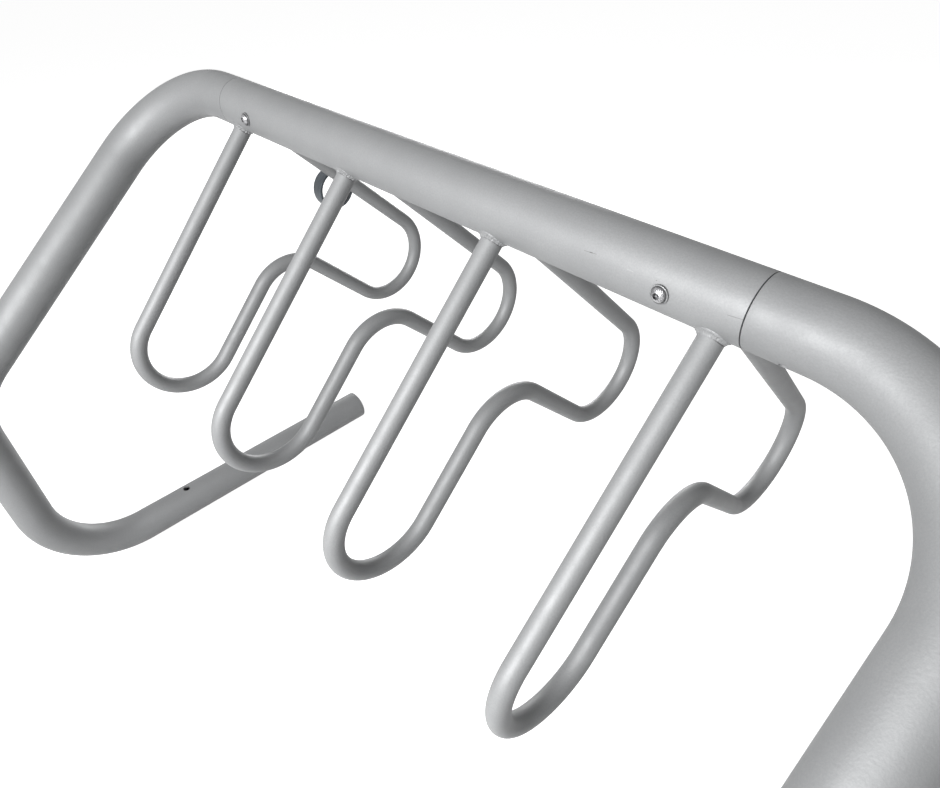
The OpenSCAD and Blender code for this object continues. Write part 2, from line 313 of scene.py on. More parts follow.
# %% [markdown]
# ## From shells to a piece
#
# A piece is a Blender object made of one or more closed shells. Its faces have to look outward, or the
# surface would be lit from the wrong side. The sign of the volume tells: it is negative when a shell is
# inside out, and then the corners of its faces are read backward. Each piece rides on the rack's one body,
# and the node of the CAD model that it stands for is hidden. Some pieces also keep a number at each of
# their points, such as how strong a painted shade is there, for a material to read.

# %% Pieces
def volume_of(points, quads, fans):
    """Volume inside a closed shell, from the tetrahedra between its faces and the origin."""
    corners = np.concatenate([quads[:, [0, 1, 2]], quads[:, [0, 2, 3]], fans])
    a, b, c = (points[corners[:, k]] for k in range(3))
    return np.einsum("ij,ij->i", a, np.cross(b, c)).sum() / 6


def make_piece(name, shells, paint, replaced=(), sharp=30.0):
    """Puts closed shells into one mesh with their faces outward, smooth but for sharp edges."""
    points, faces, count = [], [], 0
    for shell_points, quads, fans in shells:
        if volume_of(shell_points, quads, fans) < 0:
            quads, fans = quads[:, ::-1], fans[:, ::-1]
        points.append(shell_points)
        faces += (quads + count).tolist() + (fans + count).tolist()
        count += len(shell_points)
    mesh = bpy.data.meshes.new(name)
    mesh.from_pydata(np.concatenate(points).tolist(), [], faces)
    mesh.update()
    mesh.polygons.foreach_set("use_smooth", np.ones(len(mesh.polygons), bool))
    mesh.set_sharp_from_angle(angle=math.radians(sharp))
    mesh.materials.append(paint)
    piece = bpy.data.objects.new(name, mesh)
    bpy.context.scene.collection.objects.link(piece)
    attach(piece, "root")
    if replaced:
        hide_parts(*replaced)
    print(f"{name}: {len(mesh.vertices)} points, {len(mesh.polygons)} faces")
    return piece


def stain(piece, amount, name="painted_shade"):
    """Stores a number at each point of a mesh, such as how strong a painted shade is there."""
    column = piece.data.attributes.new(name, "FLOAT", "POINT")
    column.data.foreach_set("value", np.asarray(amount, np.float32))


print("maker of pieces is ready")

# %% [markdown]
# ## Round parts
#
# Screws, washers, caps and the lock ring are turned parts: a profile of rings, each with its
# radius and its place along the axis, is spun about that axis. A stamped or sawn edge is never
# quite sharp, so the corners of a closed outline are rounded first. The thin line of light on
# such an edge is what makes a small part look real.

# %% Turned parts
def turned(profile, place, across, up, along, columns=96):
    """Points of a profile of (radius, height) rows spun about an axis. The axis runs along one of
    three directions square to each other, and the angle is measured from across toward up."""
    radius, height = np.array(profile, float).T
    angle = np.linspace(0, 2 * np.pi, columns, endpoint=False)
    across, up, along = (np.array(v, float) for v in (across, up, along))
    spokes = np.cos(angle)[None, :, None] * across + np.sin(angle)[None, :, None] * up
    return np.array(place) + radius[:, None, None] * spokes + height[:, None, None] * along


def unit(v):
    """The same directions at length one."""
    return v / np.linalg.norm(v, axis=-1, keepdims=True)


def rounded(points, radius, steps=4):
    """A closed outline whose corners are rounded: each corner becomes a quarter turn, from
    (radius before it) to (radius after it) along a curve bent toward the corner."""
    points = np.array(points, float)
    before = points + radius * unit(np.roll(points, 1, 0) - points)
    after = points + radius * unit(np.roll(points, -1, 0) - points)
    t = np.linspace(0, 1, steps + 1)[None, :, None]
    arc = (1 - t) ** 2 * before[:, None] + 2 * t * (1 - t) * points[:, None] + t**2 * after[:, None]
    return arc.reshape(-1, points.shape[1])


print("corners of a rounded square:", len(rounded([(1, 0), (2, 0), (2, 1), (1, 1)], 0.1)))

# %% [markdown]
# ## The powder coat
#
# Powder coat is a baked plastic skin with a little metal flake in it. Up close it has a fine
# orange peel, which the eye reads as a soft grain in the highlight. From a step away it shows
# faint clouds, where the coat is thicker or a hand has rubbed it. The colour stays nearly even,
# so the roughness and a very shallow bump do most of the work. All of it reads Object
# coordinates, which are metres on the rack, because the pieces lie where the CAD says.
#
# A material is a tree of small steps. These functions each add one step and give back its
# output, so that a coat can be written down in a few lines.

# %% Steps of a material
def noise(tree, where, scale, detail=3.0, roughness=0.55):
    """A cloud pattern whose lumps are about 1/scale metres across."""
    node = tree.nodes.new("ShaderNodeTexNoise")
    node.inputs["Scale"].default_value = scale
    node.inputs["Detail"].default_value = detail
    node.inputs["Roughness"].default_value = roughness
    links(tree, (where, node.inputs["Vector"]))
    return node.outputs[0]


def ramp(tree, value, low, high, from_low=0.35, from_high=0.65):
    """Maps the stretch of a value from from_low to from_high onto low to high, and no further."""
    node = tree.nodes.new("ShaderNodeMapRange")
    for key, number in (("From Min", from_low), ("From Max", from_high), ("To Min", low), ("To Max", high)):
        node.inputs[key].default_value = number
    links(tree, (value, node.inputs["Value"]))
    return node.outputs[0]


def mix_colour(tree, factor, first, second):
    """Mixes two colours or colour sockets by a factor."""
    node = tree.nodes.new("ShaderNodeMix")
    node.data_type = "RGBA"
    links(tree, (factor, node.inputs["Factor"]))
    for key, colour in (("A", first), ("B", second)):
        if isinstance(colour, tuple):
            node.inputs[key].default_value = (*colour, 1)
        else:
            links(tree, (colour, node.inputs[key]))
    return node.outputs["Result"]


def bumpy(tree, height, strength, deep):
    """Tilts the shader's normal as if the skin rose and fell by that depth in metres."""
    bump = tree.nodes.new("ShaderNodeBump")
    bump.inputs["Strength"].default_value = strength
    bump.inputs["Distance"].default_value = deep
    normal = tree.nodes["Principled BSDF"].inputs["Normal"]
    links(tree, (height, bump.inputs["Height"]), (bump.outputs[0], normal))


def stored(tree, name):
    """A number that the mesh keeps at each of its points."""
    node = tree.nodes.new("ShaderNodeAttribute")
    node.attribute_name = name
    return node.outputs["Fac"]


print("steps of a material are ready")

# %% [markdown]
# A scratch or a scuff is a thin line on the skin with another colour. For each point, the place
# on the line that is nearest to it is worked out, and the distance says whether it is marked.

# %% Scratches
def vector_math(tree, kind, first, second):
    """One vector step, such as SUBTRACT or DOT_PRODUCT; second is a tuple or a socket."""
    node = tree.nodes.new("ShaderNodeVectorMath")
    node.operation = kind
    links(tree, (first, node.inputs[0]))
    if isinstance(second, tuple):
        node.inputs[1].default_value = second
    else:
        links(tree, (second, node.inputs[1]))
    return node.outputs["Value" if kind == "DOT_PRODUCT" else 0]


def scratch(tree, where, start, end, width):
    """1 along a thin line on the surface from start to end, and 0 beside it. The nearest place on
    the line is start + t (end - start), with t kept between 0 and 1."""
    start, end = np.array(start, float), np.array(end, float)
    run = end - start
    offset = vector_math(tree, "SUBTRACT", where, tuple(start))
    share = ramp(tree, vector_math(tree, "DOT_PRODUCT", offset, tuple(run)), 0, 1, 0, float(run @ run))
    nearest = tree.nodes.new("ShaderNodeVectorMath")
    nearest.operation = "SCALE"
    nearest.inputs[0].default_value = tuple(run)
    links(tree, (share, nearest.inputs["Scale"]))
    apart = tree.nodes.new("ShaderNodeVectorMath")
    apart.operation = "DISTANCE"
    links(tree, (offset, apart.inputs[0]), (nearest.outputs[0], apart.inputs[1]))
    return ramp(tree, apart.outputs["Value"], 1, 0, 0.35 * width, 0.65 * width)


def on_beam(x, degrees):
    """A place on the beam's skin, at an angle from straight down toward the front."""
    a = math.radians(degrees)
    return (x, BEAM_Y - FRAME_R * math.sin(a), BEAM_Z - FRAME_R * math.cos(a))


SCUFF, GOUGE = (0.19, 0.19, 0.19), (0.12, 0.12, 0.12)
RUB, FAINT = (0.42, 0.42, 0.43), (0.365, 0.37, 0.375)
beam_marks = [(on_beam(0.2345, 107.6), on_beam(0.2465, 109.3), 0.0004, SCUFF),
              (on_beam(0.2400, 108.4), on_beam(0.2424, 108.7), 0.0007, GOUGE),
              (on_beam(0.2770, 106.2), on_beam(0.2830, 105.8), 0.0005, FAINT),
              (on_beam(0.3650, 100.4), on_beam(0.3765, 102.6), 0.0004, SCUFF),
              (on_beam(0.3040, 107.1), on_beam(0.3044, 107.4), 0.0008, SCUFF)]
hanger_marks = [((0.3443, 0.1425, 0.5668), (0.3457, 0.1455, 0.5668), 0.0014, RUB)]
print("marks:", len(beam_marks), "on the beam,", len(hanger_marks), "on the fourth hanger")

# %% [markdown]
# Every coated piece gets the same coat with slightly different greys, because the real ones
# catch a little more or less powder. Over a weld it is glossier and more mottled.

# %% Powder coat
CLOUDS, GRAIN, GLOSS, PEEL = 14, 700, 60, 480       # lumps of each pattern in a metre
FLAKE = 0.25                        # share of metal in the coat
PEEL_DEEP = 0.0004                  # depth of the orange peel, in metres
GRAIN_SHADE = 0.88                  # tone of the fine grain, against the darker grey
CREASE_SHADE = (0.045, 0.045, 0.046)      # painted shade: the dark line in the crease where a weld ends on an arm


def powder_coat(name, light, dark, rough=(0.54, 0.60), peel=0.32, marks=(), crease_shaded=False):
    """Satin powder coat between two greys, with clouds, fine grain, orange peel and any marks.
    Each mark is (start, end, width, colour). A crease-shaded coat gets painted shade where the mesh says
    so."""
    paint = bpy.data.materials.new(name)
    paint.use_nodes = True
    tree = paint.node_tree
    shader = tree.nodes["Principled BSDF"]
    where = tree.nodes.new("ShaderNodeTexCoord").outputs["Object"]
    clouds = ramp(tree, noise(tree, where, CLOUDS, 4), 0, 1)
    grain = ramp(tree, noise(tree, where, GRAIN, 2, 0.7), 0, 0.6, 0.3, 0.7)
    cloudy = mix_colour(tree, clouds, light, dark)
    colour = mix_colour(tree, grain, cloudy, tuple(GRAIN_SHADE * v for v in dark))
    for start, end, width, mark_colour in marks:
        colour = mix_colour(tree, scratch(tree, where, start, end, width), colour, mark_colour)
    # painted shade: the crease where a weld bead ends on the arm is darkened by a number stored on the mesh
    if crease_shaded:
        colour = mix_colour(tree, stored(tree, "crease_shade"), colour, CREASE_SHADE)
    links(tree, (colour, shader.inputs["Base Color"]))
    links(tree, (ramp(tree, noise(tree, where, GLOSS, 3), *rough), shader.inputs["Roughness"]))
    shader.inputs["Metallic"].default_value = FLAKE
    bumpy(tree, noise(tree, where, PEEL, 2, 0.5), peel, PEEL_DEEP)
    return paint


beam_coat = powder_coat("beam_coat", (0.326, 0.331, 0.336), (0.298, 0.303, 0.308), marks=beam_marks)
leg_coat = powder_coat("leg_coat", (0.312, 0.317, 0.322), (0.284, 0.289, 0.294))
hanger_coat = powder_coat("hanger_coat", (0.330, 0.335, 0.340), (0.302, 0.307, 0.312), marks=hanger_marks)
weld_coat = powder_coat("weld_coat", (0.335, 0.340, 0.345), (0.275, 0.280, 0.285),
                        rough=(0.44, 0.54), peel=0.35, crease_shaded=True)
cap_coat = powder_coat("cap_coat", (0.310, 0.315, 0.320), (0.285, 0.290, 0.295))
print("coats:", [m.name for m in (beam_coat, leg_coat, hanger_coat, weld_coat, cap_coat)])

# %% [markdown]
# ## Bare and plated steel
#
# The joint screws are polished stainless steel, and the washers are stamped from duller sheet.
# Steel looks like steel only if something dark is mirrored in it, so painted shade in the socket, under the
# rims and on the lower side stands in for dark reflections and for the shade that falls there. How deep a
# point lies in such a place is stored on the mesh as a painted shade attribute, worked out with the shape,
# and the material reads it. Fine pits break up the light on the screw heads. The sleeves and nuts are zinc
# plated, which dries in pale flakes called spangle.

# %% Steel
# painted shade: the colour that darkens steel in its socket, under its rims and on its lower side
STEEL_PAINTED_SHADE = (0.035, 0.035, 0.037)
PIT_DEEP = 0.0002                   # depth of the pits, in metres


def steel(name, bright, dull, rough, scale, pits):
    """Bare metal between two greys, with fine grain, pits and, where the mesh says so, painted shade."""
    metal = bpy.data.materials.new(name)
    metal.use_nodes = True
    tree = metal.node_tree
    shader = tree.nodes["Principled BSDF"]
    where = tree.nodes.new("ShaderNodeTexCoord").outputs["Object"]
    grain = ramp(tree, noise(tree, where, scale, 4, 0.6), 0, 1)
    colour = mix_colour(tree, grain, bright, dull)
    # painted shade, where the number stored on the mesh says so
    colour = mix_colour(tree, stored(tree, "painted_shade"), colour, STEEL_PAINTED_SHADE)
    links(tree, (colour, shader.inputs["Base Color"]),
          (ramp(tree, grain, *rough, 0, 1), shader.inputs["Roughness"]))
    shader.inputs["Metallic"].default_value = 1.0
    bumpy(tree, grain, pits, PIT_DEEP)
    return metal


def zinc(name, pale, grey):
    """Zinc plate: each flake of spangle is one cell of a cell pattern with its own shade."""
    metal = bpy.data.materials.new(name)
    metal.use_nodes = True
    tree = metal.node_tree
    shader = tree.nodes["Principled BSDF"]
    where = tree.nodes.new("ShaderNodeTexCoord").outputs["Object"]
    flakes = tree.nodes.new("ShaderNodeTexVoronoi")
    flakes.inputs["Scale"].default_value = 260
    links(tree, (where, flakes.inputs["Vector"]))
    shade = ramp(tree, flakes.outputs["Color"], 0, 1, 0.1, 0.9)
    links(tree, (mix_colour(tree, shade, pale, grey), shader.inputs["Base Color"]),
          (ramp(tree, shade, 0.38, 0.55, 0, 1), shader.inputs["Roughness"]))
    shader.inputs["Metallic"].default_value = 0.9
    return metal


screw_steel = steel("screw_steel", (0.50, 0.50, 0.51), (0.20, 0.20, 0.21), (0.18, 0.30), 800, 0.6)
washer_steel = steel("washer_steel", (0.38, 0.385, 0.39), (0.26, 0.265, 0.27), (0.26, 0.38), 900, 0.15)
plated = zinc("sleeve_zinc", (0.56, 0.57, 0.59), (0.44, 0.45, 0.47))
plated_nut = zinc("nut_zinc", (0.60, 0.58, 0.50), (0.50, 0.48, 0.41))
for side in ("left", "right"):
    for node_name, metal in ((f"sleeve_{side}", plated), (f"nut_{side}", plated_nut)):
        node_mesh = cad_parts[node_name].data
        node_mesh.materials.clear()
        node_mesh.materials.append(metal)
print("plated nodes: sleeves and nuts")

# %% [markdown]
# ## The beam
#
# The beam is one straight length of frame tube. Its cut ends were filed before coating, so each
# edge is rounded by a third of a millimetre, and the coat builds up on it by a quarter. The thin
# gap that is left shows the joint between the beam and the leg.

# %% Rows of a tube with a wall
def walled_rows(path, outer, inner, columns=96, lip=0.0003):
    """Rows of a tube with a wall: the outside, a rounded edge at each cut end, and the bore.
    The edge is a quarter circle of radius lip in the plane of the tube's length."""
    centre, ahead, side, up = path[:4]
    arc_points = 5
    turn_by = np.linspace(0, np.pi / 2, arc_points)

    def at_end(k, sign, radius, lean):
        """Rounded edge at stop k: from the wall's surface to its cut face."""
        shift = (np.sin(turn_by) - 1) * lip
        reach = radius + lean * (np.cos(turn_by) - 1) * lip
        middle = centre[k] + sign * shift[:, None] * ahead[k]
        ways = (np.repeat(way[k][None], arc_points, 0) for way in (side, up))
        return circle_points(middle, *ways, reach, columns)

    outside = circle_points(centre[1:-1], side[1:-1], up[1:-1], outer, columns)
    bore = circle_points(centre[1:-1], side[1:-1], up[1:-1], inner, columns)[::-1]
    return np.concatenate([at_end(0, -1, outer, 1)[::-1], outside, at_end(-1, 1, outer, 1),
                           at_end(-1, 1, inner, -1)[::-1], bore, at_end(0, -1, inner, -1)])


BUILD_UP = 0.00025      # thickness of the coat on a cut end
print("coat on a cut end:", BUILD_UP * 1000, "mm")

# %% [markdown]
# The holes for the joint screws are cut by a Boolean with round rods, because a hole drilled
# through a round wall has an edge that no plain grid of rows can follow.

# %% Beam
def drill(piece, holes, sides=48):
    """Cuts round holes square to X through a piece. Each hole is (start, direction, radius,
    length), and is cut by a rod with that many sides."""
    shells = []
    for start, along, radius, length in holes:
        along = unit(np.array(along, float))
        across = unit(np.cross(along, (1, 0, 0)))
        rod = turned([(radius, 0), (radius, length)], start, across, np.cross(along, across), along, sides)
        shells.append(poled(rod, np.array(start), np.array(start) + length * along))
    cutter = make_piece(piece.name + "_cutter", shells, piece.data.materials[0])
    cut = piece.modifiers.new("holes", "BOOLEAN")
    cut.operation, cut.solver, cut.object = "DIFFERENCE", "EXACT", cutter
    drilled = bpy.data.meshes.new_from_object(piece.evaluated_get(bpy.context.evaluated_depsgraph_get()))
    piece.modifiers.clear()
    piece.data = drilled
    bpy.data.objects.remove(cutter)
    drilled.set_sharp_from_angle(angle=math.radians(30))
    print(f"{piece.name}: {len(holes)} holes, now {len(drilled.polygons)} faces")


beam_path = follow((-BEAM_HALF - BUILD_UP, BEAM_Y, BEAM_Z), (1, 0, 0), (0, 1, 0),
                   [("run", 2 * (BEAM_HALF + BUILD_UP), 60)])
beam_rows = walled_rows(beam_path, FRAME_R, FRAME_R - FRAME_WALL, 128)
beam = make_piece("beam_tube", [looped(beam_rows)], beam_coat, replaced=("hanger_beam",))
drill(beam, [((side * SCREW_X, BEAM_Y - FRAME_R / 2, BEAM_Z), (0, -1, 0), SCREW_HOLE_R, FRAME_R)
             for side in (-1, 1)])

# %% [markdown]
# ## The legs
#
# Each leg is a single tube: out of the joint, round a corner, forward and down, round to the
# upright, and round again into the foot. The left one is the right one mirrored. Mirroring turns
# a mesh inside out, so make_piece checks the sign of the volume and flips the faces.
# Each foot has two anchor holes for floor bolts, and a small hole under the joint lets water out.

# %% Legs
quarter_turn = math.pi / 2
leg_path = follow((LEG_START - BUILD_UP, BEAM_Y, BEAM_Z), (1, 0, 0), (0, -slope_cos, -slope_sin), [
    ("run", LEG_LEAD + BUILD_UP, 10),
    ("bend", LEG_BEND_R, quarter_turn), ("roll", quarter_turn),
    ("run", ARM_LEN, 30),
    ("bend", LEG_BEND_R, quarter_turn - ARM_SLOPE),
    ("run", UPRIGHT_LEN, 16),
    ("bend", LEG_BEND_R, quarter_turn),
    ("run", FOOT_LEN, 80)])
print("end of the right foot:", leg_path[0][-1].round(4))
leg_rows = walled_rows(leg_path, FRAME_R, FRAME_R - FRAME_WALL, 96)
anchor_places = [BEAM_Y - LEG_REACH + LEG_BEND_R + ANCHOR_INSET, BEAM_Y + FOOT_BACK - ANCHOR_INSET]
past = 0.01             # how far a drill starts below the foot, and ends above it
down_front = (0, -math.sin(DRAIN_ANGLE), -math.cos(DRAIN_ANGLE))
for side, name in ((1, "right"), (-1, "left")):
    leg = make_piece(f"leg_tube_{name}", [looped(leg_rows * np.array([side, 1, 1]))], leg_coat,
                     replaced=(f"leg_{name}",))
    anchors = [((side * LEG_PLANE, y, -past), (0, 0, 1), ANCHOR_R, 2 * FRAME_R + 2 * past)
               for y in anchor_places]
    drill(leg, anchors + [((side * DRAIN_X, BEAM_Y, BEAM_Z), down_front, DRAIN_R, 2 * FRAME_R)])

# %% [markdown]
# ## The hangers
#
# A hanger is one thin tube bent in a single plane: an arm down, a loop, a hump in the middle, a
# second loop and an arm back up. Both ends are cut to fit the round underside of the beam. The
# cut is made here by sliding each point of the end ring along the arm until it meets the beam.

# %% Hangers
def onto_beam(points, along, radius=FRAME_R):
    """Slides points along a direction square to X until they lie on a cylinder about the beam's
    centre line. The distance t solves |p + t d| = radius in Y and Z."""
    d = np.asarray(along, float)[..., 1:]
    p = points[..., 1:] - np.array([BEAM_Y, BEAM_Z])
    half_b = (p * d).sum(-1)
    reach = -half_b + np.sqrt(half_b**2 - (p**2).sum(-1) + radius**2)
    return points + reach[..., None] * np.asarray(along, float)


front_arm = np.array([0, -math.cos(HANGER_SLOPE), -math.sin(HANGER_SLOPE)])
front_inward = np.array([0, math.sin(HANGER_SLOPE), -math.cos(HANGER_SLOPE)])
arms_meet = np.array([0, BEAM_Y, BEAM_Z - HANGER_DROP])
hanger_path = follow(arms_meet, front_arm, front_inward, [
    ("run", HANGER_ARM, 60),
    ("bend", HANGER_BEND_R, math.pi),
    ("run", HANGER_INNER, 16),
    ("bend", HANGER_BEND_R, -2 * HANGER_SLOPE),
    ("run", HANGER_INNER, 16),
    ("bend", HANGER_BEND_R, math.pi),
    ("run", HANGER_ARM, 60)])
print("end of a hanger:", hanger_path[0][-1].round(4))


def hanger_rows(columns=64, clear=0.046):
    """Rows of a hanger at X = 0: outside and bore, both cut to the beam at each end. The stops
    nearer to an end than clear would lie inside the cut, so they are left out."""
    centre, ahead, side, up, gone = hanger_path
    keep = (gone > clear) & (gone < gone[-1] - clear)
    rows = []
    for radius in (HANGER_R, HANGER_R - HANGER_WALL):
        body = circle_points(centre[keep], side[keep], up[keep], radius, columns)
        first = circle_points(centre[:1], side[:1], up[:1], radius, columns)
        last = circle_points(centre[-1:], side[-1:], up[-1:], radius, columns)
        rows.append(np.concatenate([onto_beam(first, ahead[0]), body, onto_beam(last, -ahead[-1])]))
    return np.concatenate([rows[0], rows[1][::-1]])


hanger_shape = hanger_rows()
for k, x in enumerate(HANGER_AT):
    make_piece(f"hanger_tube_{k + 1}", [looped(hanger_shape + np.array([x, 0, 0]))], hanger_coat,
               replaced=(f"hanger_{k + 1}",))

# %% [markdown]
# ## The welds of the hangers
#
# Each arm is joined to the beam by one bead of weld that runs all round it. A welder lays it as a row of
# small overlapping pools, so its face is a chain of crescents, and no two are quite the same size. The bead
# is a section carried round the curve where arm and beam meet. At each point of that curve one side of the
# section lies on the arm and the other on the beam, and its face sags a little between them. The ripples,
# the lumps and a raised ridge near the beam are added to the section as heights, so the bead is real
# geometry and catches light as the photographed one does. The crease where it ends on the arm is darkened
# with painted shade, most on the side toward +X, and that too is stored on the mesh.

# %% Height of a weld's face
POOL = 0.0017                       # from one pool of weld to the next, in metres
POOL_HIGH, SLOW_HIGH, LUMP_HIGH, RIDGE_HIGH = 0.00018, 0.00022, 0.00022, 0.00034
RIDGE_AT, RIDGE_WIDE = 0.78, 0.11   # as shares of the way from the arm to the beam
ROUND = 6.28                        # a random phase lies anywhere within a turn


def ripples(turn, face, seed, lumpy):
    """Height of the bead's face: crescents one pool apart, a slow wave that makes them uneven,
    lumps, which are a sum of short waves with random phases, and a ridge near the beam. turn is
    the angle round the arm, and face runs from 0 at the arm to 1 at the beam."""
    rng = np.random.default_rng(seed)
    slow = sum(rng.uniform(0.3, 1.0) * np.cos(k * turn + rng.uniform(0, ROUND)) for k in range(1, 6)) / 3
    lumps = sum(np.cos(k * turn + rng.uniform(-7, 7) * face + rng.uniform(0, ROUND))
                for k in range(9, 33, 2)) / 3.5
    pools = np.round(2 * np.pi * HANGER_R / POOL)
    bow = 2.2 * (2 * face - 1) ** 2
    crescent = np.abs(np.sin((pools * turn + bow * 2) / 2 + 0.8 * slow))
    ridge = np.exp(-(((face - RIDGE_AT) / RIDGE_WIDE) ** 2))
    height = (POOL_HIGH * (crescent - 0.6) + SLOW_HIGH * slow
              + LUMP_HIGH * lumpy * lumps + RIDGE_HIGH * ridge)
    return height, slow


print("pools of weld round one arm:", round(2 * math.pi * HANGER_R / POOL))

# %% [markdown]
# The bead's path is the curve where the arm's skin meets the beam's. At each of its points, two
# directions give the plane of the section: one runs down the arm, the other out over the beam,
# and both are square to the curve.

# %% Weld beads
BEAD_SUNK = 0.0008                  # how deep the bead reaches into both tubes


def bead(x, along, seed, lumpy, columns=18, count=720):
    """A closed ring of weld round the arm that leaves the beam at X = x in the direction along.
    Returns the shell, and how much painted shade the crease at the arm gets at each of its points."""
    turn = np.linspace(0, 2 * np.pi, count, endpoint=False)
    along = np.array(along, float)
    square = np.cross(along, (1, 0, 0))
    out = np.cos(turn)[:, None] * np.array([1, 0, 0]) + np.sin(turn)[:, None] * square
    meet = onto_beam(arms_meet + HANGER_R * out, along)
    off_beam = unit((meet - arms_meet - np.array([0, 0, HANGER_DROP])) * np.array([0, 1, 1]))
    course = unit(np.roll(meet, -1, 0) - np.roll(meet, 1, 0))
    down_arm = unit(np.cross(course, out))
    down_arm *= np.sign(down_arm @ along)[:, None]
    over_beam = unit(np.cross(course, off_beam))
    over_beam *= np.sign((over_beam * out).sum(-1))[:, None]
    face = np.linspace(0, 1, columns)
    # The section: a curve bent toward the corner, from the toe on the arm to the toe on the beam.
    arm_toe, beam_toe, sag = 0.0038, 0.0040, 0.0014
    start, end, bend = np.array([arm_toe, 0.00015]), np.array([0.0002, beam_toe]), np.array([sag, sag])
    t = face[:, None]
    curve = (1 - t) ** 2 * start + 2 * (t * (1 - t)) * bend + t**2 * end
    height, slow = ripples(turn[:, None], face[None, :], seed, lumpy)
    height = height * np.sin(np.pi * np.clip(face, 0.04, 0.96))[None, :] ** 0.5
    u = curve[None, :, 0] + 0.6 * height
    v = curve[None, :, 1] + height

    def row_of(value, wide=1):
        """The same value at every point round the arm."""
        return np.full((count, wide), value)

    # It closes inside the metal of the two tubes.
    u = np.concatenate([row_of(arm_toe + 0.0001), u, row_of(-BEAD_SUNK, 2)], 1)
    v = np.concatenate([row_of(-0.0003), v, row_of(beam_toe), row_of(-BEAD_SUNK)], 1)
    points = meet[:, None] + u[..., None] * down_arm[:, None] + v[..., None] * over_beam[:, None]
    depth = np.concatenate([[1.0, 1.0, 1.0, 0.8, 0.4], np.zeros(columns - 2)])
    # painted shade in the crease at the arm, strongest toward +X and fading over the first columns of the
    # bead
    crease_shade = np.clip(0.9 * np.cos(turn / 2)[:, None] ** 4 + 0.3 * slow, 0, 1) * depth
    return looped(points + np.array([x, 0, 0])), crease_shade.ravel()


rear_arm = front_arm * np.array([1, -1, 1])
lumpiness = [1.5, 1.5, 1.3, 0.5]    # the fourth hanger's welds are the neatest
for k, x in enumerate(HANGER_AT):
    beads = [bead(x, front_arm, 11 + k, lumpiness[k]), bead(x, rear_arm, 31 + k, lumpiness[k])]
    welds = make_piece(f"weld_bead_{k + 1}", [shell for shell, crease_shade in beads], weld_coat,
                       replaced=(f"hanger_weld_{k + 1}",), sharp=60)
    stain(welds, np.concatenate([crease_shade for shell, crease_shade in beads]), "crease_shade")

# %% [markdown]
# ## The joint screws and washers
#
# A button head is part of a ball, with a six-sided socket and a small security pin in the middle. Its rows
# are rings about the screw's axis. Inside the dome a ring's radius changes from a circle to the socket's
# six flats, and from the socket's floor back to a circle for the pin. The same rows carry the painted
# shade: much of it under the head and on the dome's skirt, most of all on the lower side, some in the
# socket and none on the top of the dome.

# %% Rows of a button head
SHANK_R, SHANK_LEN = 0.004, 0.020
HEAD_R, HEAD_H = 0.007, 0.0044
SOCKET_FLATS, SOCKET_DEEP, PIN_R = 0.005, 0.0026, 0.001
SOCKET_TURN = 0.35                  # radians
BALL_R = (HEAD_H**2 + HEAD_R**2) / (2 * HEAD_H)


def dome(radius):
    """Height of the head at a distance from its axis: a ball of radius BALL_R."""
    return HEAD_H - BALL_R + np.sqrt(BALL_R**2 - radius**2)


def screw_rows(columns=96):
    """Rings of points from the shank's tip to the pin's top, each as (radius, height, painted shade). A
    circle has one radius all round. The hexagon's is half its width across flats divided by the cosine of
    the angle from the middle of the nearest flat."""
    angle = np.linspace(0, 2 * np.pi, columns, endpoint=False)
    sixth = (angle + np.pi / 6) % (np.pi / 3) - np.pi / 6
    hexagon = SOCKET_FLATS / 2 / np.cos(sixth)
    whole = np.ones(columns)
    floor_z = HEAD_H - SOCKET_DEEP
    pin_z = HEAD_H - SOCKET_DEEP / 3
    skirt = 0.985 * HEAD_R
    # the third number of each ring is its painted shade: full under the head, fading up the dome's skirt,
    # part in the socket and round the pin
    rows = [(0.6 * SHANK_R * whole, -SHANK_LEN, 1), (0.85 * SHANK_R * whole, -SHANK_LEN, 1),
            (SHANK_R * whole, -SHANK_LEN + 0.0008, 1), (SHANK_R * whole, 0, 1),
            (0.955 * HEAD_R * whole, 0, 1), (skirt * whole, 0.00006, 1),
            (0.99 * HEAD_R * whole, dome(0.99 * HEAD_R), 0.9)]
    for share in np.linspace(0, 1, 12)[1:]:
        radius = (1 - share) * skirt * whole + share * (hexagon + 0.00025)
        rows.append((radius, dome(radius), 0.8 * max(0.0, 1 - 3.5 * share)))
    rows += [(hexagon + 0.00008, dome(hexagon) - 0.00006, 0.2), (hexagon, dome(hexagon) - 0.0003, 0.35),
             (hexagon, floor_z + 0.0003, 0.45), (hexagon - 0.0002, floor_z, 0.45),
             (1.2 * PIN_R * whole, floor_z, 0.45), (PIN_R * whole, floor_z + 0.0002, 0.45),
             (PIN_R * whole, pin_z - 0.0002, 0.3), (0.8 * PIN_R * whole, pin_z, 0.2)]
    return angle, rows, pin_z


angle, screw_rings, pin_z = screw_rows()
print("a screw has", len(screw_rings), "rings")

# %% [markdown]
# The screws stand on their washers and point into the beam from the front. A washer is a flat ring with
# rounded edges. Its painted shade lies where it touches the beam, round the screw's head and along the
# lower part of its rim.

# %% Screws and washers
PAINTED_SHADE_HIGH = 0.0007                 # how far painted shade reaches up a washer's edge from the beam
PAINTED_SHADE_OUT, PAINTED_SHADE_FADE = 0.0074, 0.0004      # where painted shade round the head ends, and how softly
RIM_FROM = 0.0075                   # radius where a washer's rim starts
SKIRT_FROM, SKIRT_WIDE = 0.72, 0.25         # shares of the head's radius

out_of_beam = np.array([0, -1, 0])
spokes = np.stack([np.cos(angle + SOCKET_TURN), 0 * angle, np.sin(angle + SOCKET_TURN)], -1)


